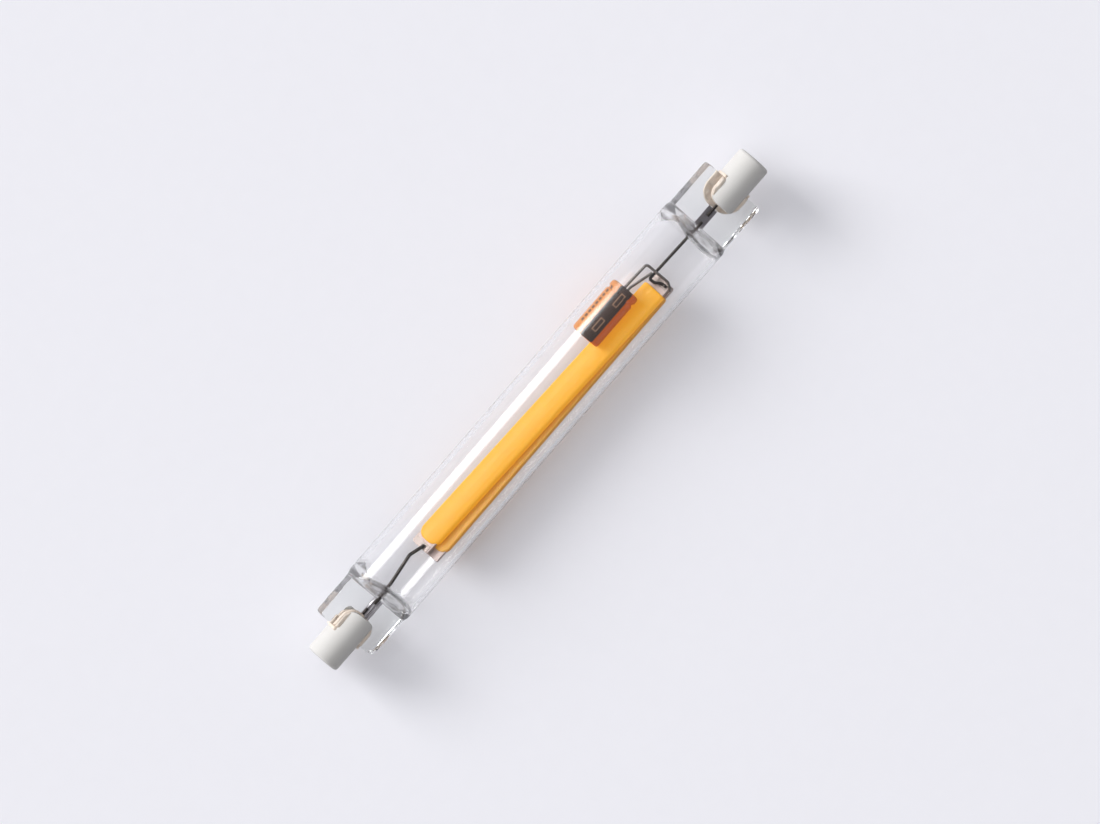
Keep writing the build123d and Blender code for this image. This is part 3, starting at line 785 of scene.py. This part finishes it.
# Drawn hard glass: clear and glossy, a little wavy with long draw lines, so that what is behind it
# bends and shines. Lamp light goes straight through it with a loss at grazing angles, so its shadow is
# light. A share of the view also goes straight through at the shoulders and along one edge of each
# press, which stands in for the softer bends of the real glass: without it they show too dark.
hard_glass, tree = blank_material("hard_glass_drawn_clear")
place = add_node(tree, "TexCoord").outputs["Object"]
stretch = add_node(tree, "Mapping", {
    "Vector": place, "Scale": (glass_line_mm / glass_wave_mm, 1.0, 1.0)})
lines = add_node(tree, "TexNoise", {"Vector": stretch, "Scale": per_metre(glass_line_mm)})
relief = add_node(tree, "Bump", {"Strength": 0.06, "Distance": 0.05 * MM, "Height": lines})
apart = add_node(tree, "SeparateXYZ", {"Vector": place})
from_end = add_node(tree, "Math", {0: apart.outputs["X"]}, operation="ABSOLUTE")
pressed = add_node(tree, "MapRange", {
    "Value": from_end, "From Min": tube_end * MM, "From Max": (press_start + press_grey_run) * MM})
tint = add_node(tree, "Mix", {
    "Factor": pressed, "A": linear(glass_clear), "B": linear(press_grey)}, data_type="RGBA")
clear = add_node(tree, "BsdfPrincipled", {
    "Base Color": tint, "Roughness": 0.0, "IOR": 1.49, "Transmission Weight": 1.0,
    "Normal": relief})
grazing = add_node(tree, "LayerWeight", {"Blend": 0.5})
loss = add_node(tree, "Math", {
    0: grazing.outputs["Facing"], 1: grazing_sharpness}, operation="POWER")
passing = add_node(tree, "Mix", {
    "Factor": loss, "A": linear(pass_square_on), "B": linear(pass_grazing)}, data_type="RGBA")
let_through = add_node(tree, "BsdfTransparent", {"Color": passing})
ray = add_node(tree, "LightPath")
lamp_ray = add_node(tree, "Math", {
    0: ray.outputs["Is Shadow Ray"], 1: ray.outputs["Is Diffuse Ray"]}, operation="MAXIMUM")
at_shoulder = add_node(tree, "MapRange", {
    "Value": from_end, "From Min": (tube_end - shoulder_straight_from) * MM,
    "From Max": (tube_end - shoulder_straight_full) * MM, "To Max": shoulder_straight})
off_middle = add_node(tree, "VectorMath", {0: place, 1: across_press}, operation="DOT_PRODUCT")
at_edge = add_node(tree, "MapRange", {
    "Value": off_middle, "From Min": edge_straight_from * MM, "From Max": edge_straight_full * MM,
    "To Max": edge_straight})
on_web = add_node(tree, "MapRange", {
    "Value": from_end, "From Min": press_start * MM,
    "From Max": (press_start + web_straight_run) * MM})
at_edge = add_node(tree, "Math", {0: at_edge, 1: on_web}, operation="MULTIPLY")
off_web = add_node(tree, "Math", {0: 1.0, 1: on_web}, operation="SUBTRACT")
worked = add_node(tree, "Math", {0: at_shoulder, 1: off_web, 2: at_edge}, operation="MULTIPLY_ADD")
straight = add_node(tree, "Math", {0: lamp_ray, 1: worked}, operation="MAXIMUM")
either = add_node(tree, "MixShader", {0: straight, 1: clear, 2: let_through})
add_node(tree, "OutputMaterial", {"Surface": either})

outer_faces = loft_faces(len(stations), glass_around)
hollow_faces = loft_faces(len(hollow_stations), hollow_around, first=len(outer_points), inward=True)
new_piece("envelope", outer_points + hollow_points, outer_faces + hollow_faces,
          hard_glass, "glass", "glass_envelope")


# Cement: a tan refractory paste that fills each cap's slot and is squeezed out in a lumpy bank on the
# flats of the press, where it sets hard. The plug of it behind the press spreads out across the slot.
cement_voxel = 0.11
cement_swell = 0.03
cement_lump = 0.10
cement_lump_mm = 0.9
fine_lump_share = 0.5
fine_lumps = 2.3
leg_start = 48.3
leg_round = 2.2
leg_core = 1.05
tuck_end = 51
bank_level = 1.0
bank_least_height = 0.35
thin_bank = 0.05
plug_stretch = 1.3
cement_tan = "#E2CDB8"
cement_pale = "#EFE6DD"
cement_brown = "#CDB096"
cement_speck_from = 0.58
cement_speck_full = 0.72
cement_speck_strength = 0.6
cement_patch_mm = 1.3
cement_grit_mm = 0.18

# Set cement: matt tan with paler and browner patches, and a sandy grain
paste, tree = blank_material("cement_refractory_set")
place = add_node(tree, "TexCoord").outputs["Object"]
patch = add_node(tree, "TexNoise", {
    "Vector": place, "Scale": per_metre(cement_patch_mm), "Detail": 5.0})
grit = add_node(tree, "TexNoise", {
    "Vector": place, "Scale": per_metre(cement_grit_mm), "Detail": 3.0})
tint = add_node(tree, "Mix", {
    "Factor": patch, "A": linear(cement_tan), "B": linear(cement_pale)}, data_type="RGBA")
specks = add_node(tree, "MapRange", {
    "Value": grit, "From Min": cement_speck_from, "From Max": cement_speck_full,
    "To Max": cement_speck_strength})
tint = add_node(tree, "Mix", {
    "Factor": specks, "A": tint, "B": linear(cement_brown)}, data_type="RGBA")
relief = add_node(tree, "Bump", {"Strength": 0.7, "Distance": 0.06 * MM, "Height": grit})
surface = add_node(tree, "BsdfPrincipled", {
    "Base Color": tint, "Roughness": 0.88, "IOR": 1.5, "Normal": relief})
add_node(tree, "OutputMaterial", {"Surface": surface})


def cement_bank(name, node_name, front_bank, back_bank, back_tuck):
    """The cement of one cap, made lumpy, with a share of the full bank kept on each flat."""
    blank = bpy.data.objects.new(name + "_blank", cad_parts[node_name].data.copy())
    bpy.context.scene.collection.objects.link(blank)
    fill = blank.modifiers.new("fill", "REMESH")
    fill.mode = "VOXEL"
    fill.voxel_size = cement_voxel * MM
    shaped = blank.evaluated_get(bpy.context.evaluated_depsgraph_get()).to_mesh()
    points = [v.co / MM for v in shaped.vertices]
    normals = [v.normal.copy() for v in shaped.vertices]
    faces = [list(f.vertices) for f in shaped.polygons]
    blank.to_mesh_clear()
    bpy.data.objects.remove(blank)
    moved = []
    for point, normal in zip(points, normals):
        lump = noise.noise(point / cement_lump_mm)
        lump += fine_lump_share * noise.noise(point / cement_lump_mm * fine_lumps)
        point = point + normal * (cement_swell + cement_lump * lump)
        p = point.dot(across_press)
        q = point.dot(out_of_press)
        if abs(point.x) > press_end:
            point = point + across_press * (plug_stretch - 1) * p
            p *= plug_stretch
        core = Vector((max(abs(point.x), leg_start + leg_round), max(-leg_core, min(leg_core, p))))
        off = Vector((abs(point.x), p)) - core
        tuck = back_tuck if q < 0 and abs(point.x) < tuck_end else 0.0
        past = off.length - leg_round + tuck
        if past > 0 and abs(q) > bank_level:
            share = back_bank if q < 0 else front_bank if p > 0 else thin_bank
            kept = core + off.normalized() * (leg_round - tuck + past * share)
            kept_height = bank_least_height + (1 - bank_least_height) * share
            height = press_half + (abs(q) - press_half) * kept_height
            x = kept.x if point.x > 0 else -kept.x
            level = height if q > 0 else -height
            point = along_lamp * x + across_press * kept.y + out_of_press * level
        moved.append(point)
    new_piece(name, moved, faces, paste, "cement", node_name)


cement_bank("squeezed_cement_left", "cement_left", front_bank=0.4, back_bank=0.05, back_tuck=0.35)
cement_bank("squeezed_cement_right", "cement_right", front_bank=0.05, back_bank=1.0, back_tuck=0.0)


# End caps: white steatite, pressed as a slotted rod and fired without glaze, cemented over the press.
steatite_white = "#D3D1CE"
steatite_warm = "#CBC8C4"
speck_grey = "#B5ABA0"
speck_edge = 0.12
speck_core = 0.05
speck_strength = 0.35
steatite_cloud_mm = 4.0
steatite_grain_mm = 0.25
steatite_speck_mm = 0.5

# Unglazed steatite: chalky white with a slightly warmer cloud, tiny grey specks and a fine tooth,
# drawn coarser than it is so that it shows
steatite, tree = blank_material("steatite_fired_unglazed")
place = add_node(tree, "TexCoord").outputs["Object"]
cloud = add_node(tree, "TexNoise", {
    "Vector": place, "Scale": per_metre(steatite_cloud_mm), "Detail": 4.0})
tint = add_node(tree, "Mix", {
    "Factor": cloud, "A": linear(steatite_warm), "B": linear(steatite_white)}, data_type="RGBA")
speck = add_node(tree, "TexVoronoi", {"Vector": place, "Scale": per_metre(steatite_speck_mm)})
dot = add_node(tree, "MapRange", {
    "Value": speck, "From Min": speck_edge, "From Max": speck_core, "To Max": speck_strength})
tint = add_node(tree, "Mix", {"Factor": dot, "A": tint, "B": linear(speck_grey)}, data_type="RGBA")
grain = add_node(tree, "TexNoise", {
    "Vector": place, "Scale": per_metre(steatite_grain_mm), "Detail": 3.0})
relief = add_node(tree, "Bump", {"Strength": 0.35, "Distance": 0.04 * MM, "Height": grain})
surface = add_node(tree, "BsdfPrincipled", {
    "Base Color": tint, "Roughness": 0.7, "IOR": 1.58, "Specular IOR Level": 0.25,
    "Normal": relief})
add_node(tree, "OutputMaterial", {"Surface": surface})
finish_nodes(steatite, "end_cap_left", "end_cap_right")


# Contacts: nickel-plated brass buttons, turned, at the bottom of the recess in each cap.
nickel_light = "#D2CCC0"
nickel_dark = "#9D968A"
turning_mark_mm = 0.16

# Turned nickel: a warm bright metal with fine rings round its middle, drawn coarser than they are so
# that they show
nickel, tree = blank_material("nickel_plated_turned")
place = add_node(tree, "TexCoord").outputs["Object"]
split = add_node(tree, "SeparateXYZ", {"Vector": place})
flat = add_node(tree, "CombineXYZ", {"Y": split.outputs["Y"], "Z": split.outputs["Z"]})
from_middle = add_node(tree, "VectorMath", {0: flat}, operation="LENGTH")
ring_place = add_node(tree, "CombineXYZ", {"X": from_middle})
rings = add_node(tree, "TexNoise", {
    "Vector": ring_place, "Scale": per_metre(turning_mark_mm), "Detail": 3.0})
tint = add_node(tree, "Mix", {
    "Factor": rings, "A": linear(nickel_dark), "B": linear(nickel_light)}, data_type="RGBA")
relief = add_node(tree, "Bump", {"Strength": 0.3, "Distance": 0.02 * MM, "Height": rings})
surface = add_node(tree, "BsdfPrincipled", {
    "Base Color": tint, "Metallic": 1.0, "Roughness": 0.26, "Normal": relief})
add_node(tree, "OutputMaterial", {"Surface": surface})
finish_nodes(nickel, "contact_left", "contact_right")


# Floor: a sheet of pale grey studio paper under the lamp.
floor_grey = "#F0EFF4"
floor_fleck = "#EEEDF2"
floor_fibre_mm = 3.0
floor_half = 20.0

# Studio paper: smooth, matt and even, with only a trace of fibre
paper, tree = blank_material("studio_paper_matt")
place = add_node(tree, "TexCoord").outputs["Object"]
fibre = add_node(tree, "TexNoise", {
    "Vector": place, "Scale": per_metre(floor_fibre_mm), "Detail": 4.0})
tint = add_node(tree, "Mix", {
    "Factor": fibre, "A": linear(floor_fleck), "B": linear(floor_grey)}, data_type="RGBA")
surface = add_node(tree, "BsdfPrincipled", {
    "Base Color": tint, "Roughness": 0.9, "IOR": 1.5, "Specular IOR Level": 0.1})
add_node(tree, "OutputMaterial", {"Surface": surface})
sheet = bpy.data.meshes.new("studio_floor")
floor_level = -tube_radius * MM
corner_signs = ((-1, -1), (1, -1), (1, 1), (-1, 1))
floor_corners = [(sx * floor_half, sy * floor_half, floor_level) for sx, sy in corner_signs]
sheet.from_pydata(floor_corners, [], [(0, 1, 2, 3)])
sheet.materials.append(paper)
floor = bpy.data.objects.new("studio_floor", sheet)
bpy.context.scene.collection.objects.link(floor)


# Light: one tall soft box on the far side of the lamp, brightest low down and fading at its edges, with
# the soft glow of a wall above it and a soft ceiling. Glass and metal see a pale room instead, darker
# overhead round the camera and on the near side.
soft_box_elevation = 27.0
soft_box_distance = 8.0
soft_box_sideways = -2.03
soft_box_width = 4.6
soft_box_height = 4.9
soft_box_power = 1185.0
soft_box_half = 0.5
soft_box_side_fade = 0.05
soft_box_rise = ((0.0, 0.0), (0.34, 1.0), (0.36, 1.0), (1.0, 0.0))
wall_strength = 2.24
wall_side = (-0.2, cos(radians(55.0)), sin(radians(55.0)))
wall_tightness = 8.0
ceiling_strength = 0.64
ceiling_tightness = 2.0
room_pale = "#E6E5EA"
overhead_dark = 0.5
overhead_from = 0.55
overhead_full = 0.95
near_side_dark = 0.3
near_side_full = -0.6
ceiling_white = "#FBFCFF"

glow = bpy.data.lights.new("soft_box", "AREA")
glow.shape = "RECTANGLE"
glow.size = soft_box_width
glow.size_y = soft_box_height
glow.energy = soft_box_power
glow.use_nodes = True
tree = glow.node_tree
spot = add_node(tree, "SeparateXYZ", {
    "Vector": add_node(tree, "NewGeometry").outputs["Parametric"]})
fade = add_node(tree, "Math", {0: spot.outputs["X"], 1: soft_box_half}, operation="SUBTRACT")
fade = add_node(tree, "Math", {0: fade}, operation="ABSOLUTE")
fade = add_node(tree, "MapRange", {
    "Value": fade, "From Min": soft_box_half,
    "From Max": soft_box_half - soft_box_side_fade}, interpolation_type="SMOOTHSTEP")
rise = add_node(tree, "ValToRGB", {"Fac": spot.outputs["Y"]})
rise.color_ramp.interpolation = "EASE"
for k, (height, strength) in enumerate(soft_box_rise):
    stop = rise.color_ramp.elements[k] if k < 2 else rise.color_ramp.elements.new(height)
    stop.position = height
    stop.color = (strength, strength, strength, 1)
level = add_node(tree, "Math", {0: rise.outputs["Color"], 1: fade}, operation="MULTIPLY")
tree.links.new(level.outputs["Value"], tree.nodes["Emission"].inputs["Strength"])
soft_box = bpy.data.objects.new("soft_box", glow)
towards = Vector((0, cos(radians(soft_box_elevation)), sin(radians(soft_box_elevation))))
soft_box.location = towards * soft_box_distance + along_lamp * soft_box_sideways
soft_box.rotation_euler = towards.to_track_quat("Z", "Y").to_euler()
bpy.context.scene.collection.objects.link(soft_box)

room = bpy.data.worlds.new("room")
room.use_nodes = True
tree = room.node_tree
tree.nodes.clear()
look = add_node(tree, "TexCoord").outputs["Generated"]
aim = add_node(tree, "SeparateXYZ", {"Vector": look})
height = add_node(tree, "Math", {0: aim.outputs["Z"], 1: 0.0}, operation="MAXIMUM")
upward = add_node(tree, "Math", {0: height, 1: ceiling_tightness}, operation="POWER")
wall = add_node(tree, "VectorMath", {
    0: look, 1: Vector(wall_side).normalized()}, operation="DOT_PRODUCT")
wall = add_node(tree, "Math", {0: wall, 1: 0.0}, operation="MAXIMUM")
wall = add_node(tree, "Math", {0: wall, 1: wall_tightness}, operation="POWER")
wall = add_node(tree, "Math", {0: wall, 1: wall_strength}, operation="MULTIPLY")
soft = add_node(tree, "Math", {0: upward, 1: ceiling_strength, 2: wall}, operation="MULTIPLY_ADD")
ceiling = add_node(tree, "Background", {"Color": linear(ceiling_white), "Strength": soft})
overhead = add_node(tree, "MapRange", {
    "Value": height, "From Min": overhead_from, "From Max": overhead_full, "To Min": 1.0,
    "To Max": overhead_dark})
near_side = add_node(tree, "MapRange", {
    "Value": aim.outputs["Y"], "From Min": 0.0, "From Max": near_side_full, "To Min": 1.0,
    "To Max": near_side_dark})
dim = add_node(tree, "Math", {0: overhead, 1: near_side}, operation="MULTIPLY")
pale = add_node(tree, "Background", {"Color": linear(room_pale), "Strength": dim})
ray = add_node(tree, "LightPath")
seen = add_node(tree, "Math", {
    0: ray.outputs["Is Camera Ray"], 1: ray.outputs["Is Glossy Ray"]}, operation="MAXIMUM")
seen = add_node(tree, "Math", {0: seen, 1: ray.outputs["Is Transmission Ray"]}, operation="MAXIMUM")
either = add_node(tree, "MixShader", {0: seen, 1: ceiling, 2: pale})
add_node(tree, "OutputWorld", {"Surface": either})
bpy.context.scene.world = room


# Camera: straight above, with the lamp lying across the frame from lower left to upper right.
camera_over = (0.99, -1.87)
camera_height = 1100.0
camera_turn = -49.1
view_width = 195.7
sensor_width = 36.0
view_reach = 100.0

eye = bpy.data.cameras.new("camera")
eye.sensor_width = sensor_width
eye.lens = sensor_width * camera_height / view_width
eye.clip_end = view_reach
camera = bpy.data.objects.new("camera", eye)
camera.location = Vector((*camera_over, camera_height)) * MM
camera.rotation_euler = (0, 0, radians(camera_turn))
bpy.context.scene.collection.objects.link(camera)
bpy.context.scene.camera = camera
bpy.context.scene.view_settings.view_transform = "Standard"

bpy.context.view_layer.update()
